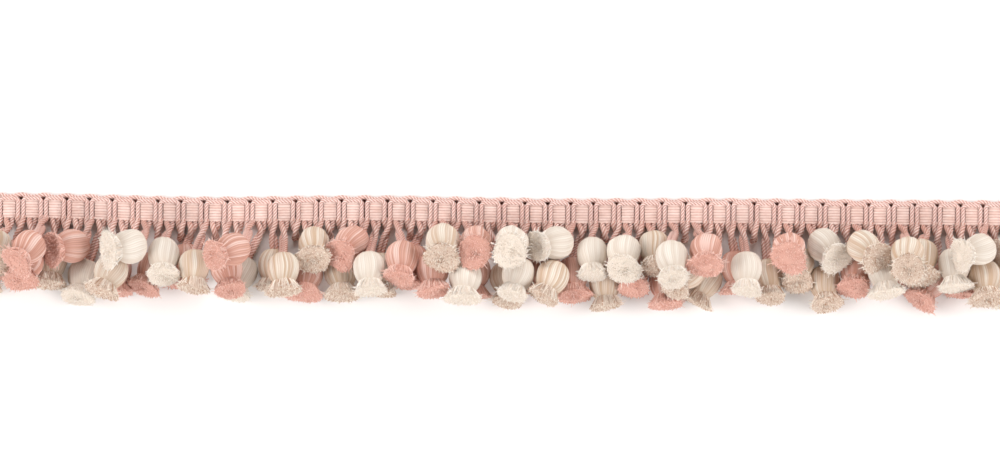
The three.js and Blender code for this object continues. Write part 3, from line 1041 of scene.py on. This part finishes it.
def stray_fibres(sizes, draw):
    """Roots, tips and bows of the fine straight fibres that stick out past a skirt's rim."""
    count = sizes.stray
    outward = level_ways(draw.uniform(0, 2 * math.pi, count))
    root = outward * STRAY_RADIUS * MM
    root[:, 2] = draw.uniform(*STRAY_ROOTS, count) * MM
    reach = draw.uniform(*STRAY_REACH, count)[:, None] * MM
    way = outward + draw.normal(0, STRAY_LEAN, (count, 3))
    return root, root + reach * way, np.zeros_like(root)


# A skirt's flare: its start and length in millimetres, its waves' heights and how many go round, how
# far skirts differ in width, and how far their cut faces tilt
FLARE_FROM = 6
FLARE_LONG = 4
FLARE_WAVES = ((0.08, 2), (0.06, 3))
FLARE_VARIES = 0.06
FACE_TILT = 0.7 * MM


def flared(points, phases):
    """Points of a skirt with its flare pushed out of round."""
    spin = np.arctan2(points[..., 1], points[..., 0])
    down = np.clip((points[..., 2] / MM - FLARE_FROM) / FLARE_LONG, 0, 1)
    out = sum(high * np.sin(waves * spin + phase) for (high, waves), phase in zip(FLARE_WAVES, phases))
    out += FLARE_VARIES * np.sin(phases[0] + phases[1])
    moved = points.copy()
    moved[..., :2] *= (1 + down * out)[..., None]
    moved[..., 2] += FACE_TILT * down * np.sin(spin + phases[2])
    return moved


# A skirt's columns, the shade and painted shade of its form under the threads, how dark the painted
# shade at the pile's roots is, and the darkest shade of a stray fibre
SKIRT_COLUMNS = 36
FORM_SHADE = 0.5
FORM_PAINTED_SHADE = 0.5
PILE_DARK = 0.6
STRAY_SHADE = 0.4


class TRIM_OT_tassels(bpy.types.Operator):
    """Wind the tassels of each yarn, with their bulbs and their cut skirts"""

    bl_idname = "trim.tassels"
    bl_label = "Tassels"

    def execute(self, context):
        settings = context.scene.trim
        sizes = settings.tassel
        pressed = settings.fringe.pressed
        bulb = turned(np.array(BULB) * MM, 2 * sizes.threads)
        skirt = turned(np.array(SKIRT) * MM, SKIRT_COLUMNS)
        short, long = cut_thread(1), cut_thread(3)
        kinds = (
            (pile_on_face, short, sizes.strand, 1.0, PILE_DARK),
            (stray_fibres, short, sizes.fibre, STRAY_SHADE, 0.0),
            (threads_down_side, long, sizes.strand, 1.0, 0.0),
        )
        for order, name in enumerate(FRINGES):
            draw = np.random.default_rng(sizes.seed + order)
            bulbs, skirts = Gathered(), Gathered()
            node = f"{name}_fringe"
            for lock in locks_of(node, settings):
                if lock.tassel is None:
                    continue
                points, shade, groove, place = wound_bulb(bulb, sizes, draw)
                bulbs.add(bulb, put_on(lock.tassel, points, pressed), shade, groove, place)
                phases = draw.uniform(0, 2 * math.pi, 3)
                form = flared(skirt.points, phases)
                skirts.add(skirt, put_on(lock.tassel, form, pressed), FORM_SHADE, FORM_PAINTED_SHADE)
                for kind, shape, thick, darkest, root_dark in kinds:
                    root, tip, bow = kind(sizes, draw)
                    threads = flared(thread_copies(shape, root, tip, thick, bow), phases)
                    tone = darkest * draw.random((len(root), 1))
                    # Painted shade, deepest at the roots of the cut ends on the face
                    depth = root_dark * (1 - shape.points[:, 2])
                    skirts.add(shape, put_on(lock.tassel, threads, pressed), tone, depth)
            bulbs.piece(f"{name}_bulbs", wound_yarn(name), f"{name}_yarn", node)
            skirts.piece(f"{name}_skirts", cut_yarn(name), f"{name}_yarn", node)
        return {"FINISHED"}


# Each light's width, depth and place in metres, and the floor's half width
LIGHTS = {
    "left": (2.2, 1.3, (-1.9, -0.35, 1.45)),
    "right": (2.2, 1.3, (1.9, -0.35, 1.45)),
    "back": (1.6, 0.6, (0, 1.6, 1.0)),
    "front": (1.6, 0.6, (0, -1.7, 0.7)),
}
FLOOR_REACH = 6


def area_light(name, watts, wide, deep, place):
    """A soft rectangular light that faces the trim's middle."""
    data = bpy.data.lights.new(name, "AREA")
    data.shape = "RECTANGLE"
    data.size = wide
    data.size_y = deep
    data.energy = watts
    made = bpy.data.objects.new(name, data)
    bpy.context.scene.collection.objects.link(made)
    made.location = place
    x, y, z = place
    made.rotation_euler = (math.atan2(math.hypot(x, y), z), 0, math.atan2(-y, -x) - math.pi / 2)
    made.visible_camera = False


class TRIM_OT_stage(bpy.types.Operator):
    """Set the pale floor, the soft lights and the camera straight above"""

    bl_idname = "trim.stage"
    bl_label = "Stage"

    def execute(self, context):
        scene = context.scene
        sizes = scene.trim.stage
        bm = bmesh.new()
        bmesh.ops.create_grid(bm, x_segments=1, y_segments=1, size=FLOOR_REACH)
        data = bpy.data.meshes.new("floor")
        bm.to_mesh(data)
        bm.free()
        # Matt paper has no glints, so the floor looks evenly white
        paper = bpy.data.materials.new("matt_paper")
        paper.use_nodes = True
        shader = paper.node_tree.nodes["Principled BSDF"]
        shader.inputs["Base Color"].default_value = scene.trim.colours.floor
        shader.inputs["Roughness"].default_value = 0.9
        shader.inputs["Specular IOR Level"].default_value = 0.1
        data.materials.append(paper)
        floor = bpy.data.objects.new("floor", data)
        scene.collection.objects.link(floor)
        for name, (wide, deep, place) in LIGHTS.items():
            area_light(f"{name}_light", getattr(sizes, name), wide, deep, place)
        world = bpy.data.worlds.new("even_sky")
        world.use_nodes = True
        sky = world.node_tree.nodes["Background"]
        sky.inputs["Color"].default_value = (1, 1, 1, 1)
        sky.inputs["Strength"].default_value = sizes.sky
        scene.world = world
        scene.view_settings.view_transform = "Standard"
        data = bpy.data.cameras.new("camera")
        data.lens = sizes.lens
        camera = bpy.data.objects.new("camera", data)
        scene.collection.objects.link(camera)
        above = sizes.view_width * data.lens / data.sensor_width
        camera.location = (sizes.view_x, sizes.view_y, above)
        camera.rotation_euler = (0, 0, sizes.roll)
        scene.camera = camera
        return {"FINISHED"}


OPERATORS = (
    TRIM_OT_tape,
    TRIM_OT_face_cord,
    TRIM_OT_edge_cord,
    TRIM_OT_roots,
    TRIM_OT_loops,
    TRIM_OT_tassels,
    TRIM_OT_stage,
)


class TRIM_PT_panel(bpy.types.Panel):
    """The trim's pieces and sizes"""

    bl_label = "Tassel fringe trim"
    bl_idname = "TRIM_PT_panel"
    bl_space_type = "VIEW_3D"
    bl_region_type = "UI"
    bl_category = "Trim"

    def draw(self, context):
        for operator in OPERATORS:
            self.layout.operator(operator.bl_idname)
        for name in ("heading", "fringe", "tassel", "colours", "stage"):
            box = self.layout.box()
            group = getattr(context.scene.trim, name)
            box.label(text=name.capitalize())
            for key in group.__annotations__:
                box.prop(group, key)


SETTINGS = (HeadingSettings, FringeSettings, TasselSettings, ColourSettings, StageSettings)
CLASSES = (*SETTINGS, TrimSettings, *OPERATORS, TRIM_PT_panel)


def register():
    """Adds the classes and the settings."""
    for each in CLASSES:
        bpy.utils.register_class(each)
    bpy.types.Scene.trim = bpy.props.PointerProperty(type=TrimSettings)


def unregister():
    """Takes them away again."""
    del bpy.types.Scene.trim
    for each in reversed(CLASSES):
        bpy.utils.unregister_class(each)


def main():
    """Makes every piece and the stage."""
    register()
    bpy.ops.trim.tape()
    bpy.ops.trim.face_cord()
    bpy.ops.trim.edge_cord()
    bpy.ops.trim.roots()
    bpy.ops.trim.loops()
    bpy.ops.trim.tassels()
    bpy.ops.trim.stage()
    bpy.context.view_layer.update()


if __name__ == "__main__":
    main()
